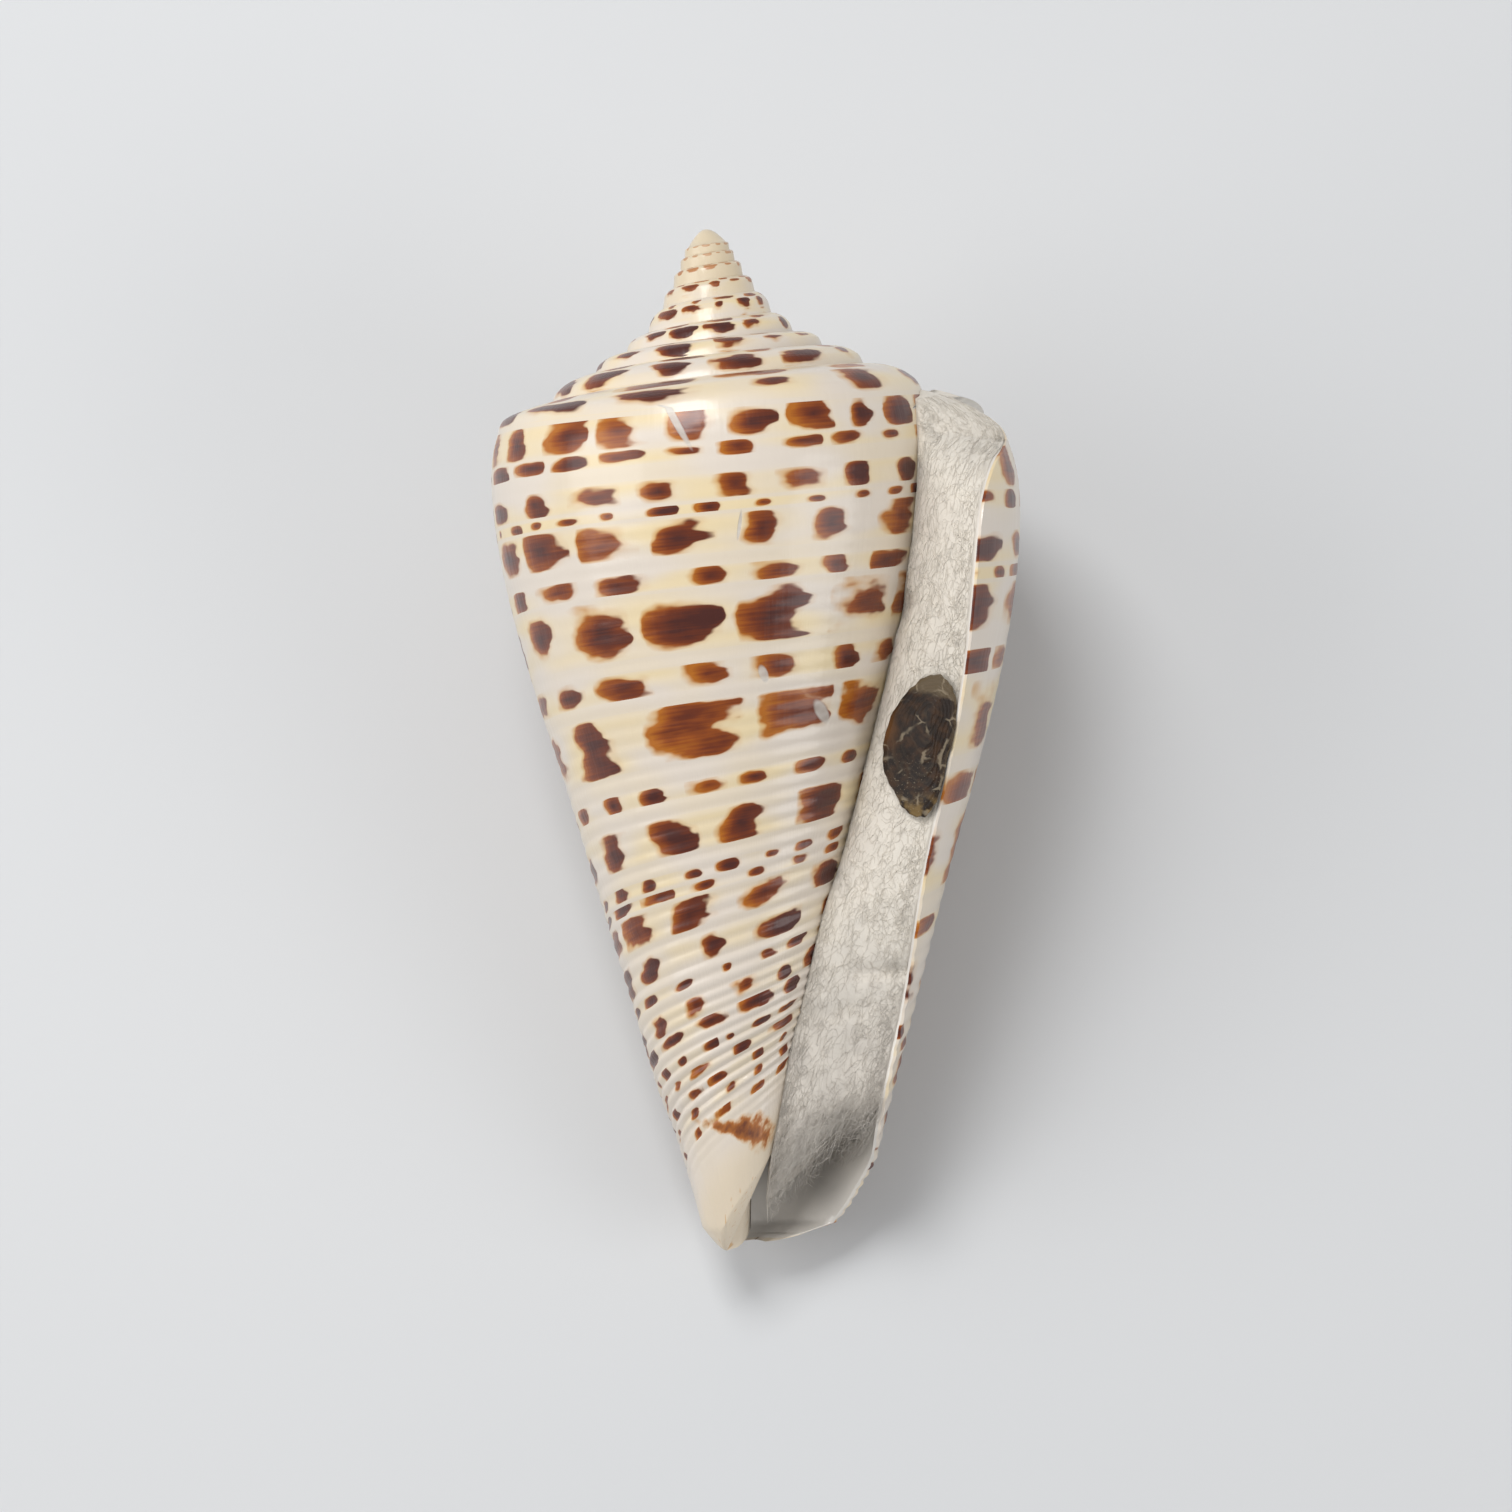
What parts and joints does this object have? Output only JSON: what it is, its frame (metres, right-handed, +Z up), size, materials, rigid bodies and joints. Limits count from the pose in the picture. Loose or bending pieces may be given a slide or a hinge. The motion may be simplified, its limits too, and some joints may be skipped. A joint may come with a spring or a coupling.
{
  "type": "cone shell",
  "caption": "Spotted cone shell lying on its back, its aperture plugged with cotton wool, with the horny operculum laid on the cotton.",
  "frame": {"origin": "on the surface it lies on, at the middle of the bounding box", "axes": "+Z up, out of the aperture; +Y along the shell towards the apex of its spire; +X towards the outer lip"},
  "size_m": [0.037, 0.07, 0.0349],
  "materials": {
    "shell_calcite": "polished porcelain-like shell, white to cream with rows of dark brown spots, over fine spiral cords",
    "cotton_wool": "loose white cotton wool, faintly soiled",
    "horn": "dark brown translucent horn with growth lines and a pale crust"
  },
  "bodies": {
    "root": {"shell": "shell_calcite", "cotton_plug": "cotton_wool", "operculum": "horn"}
  },
  "joints": []
}
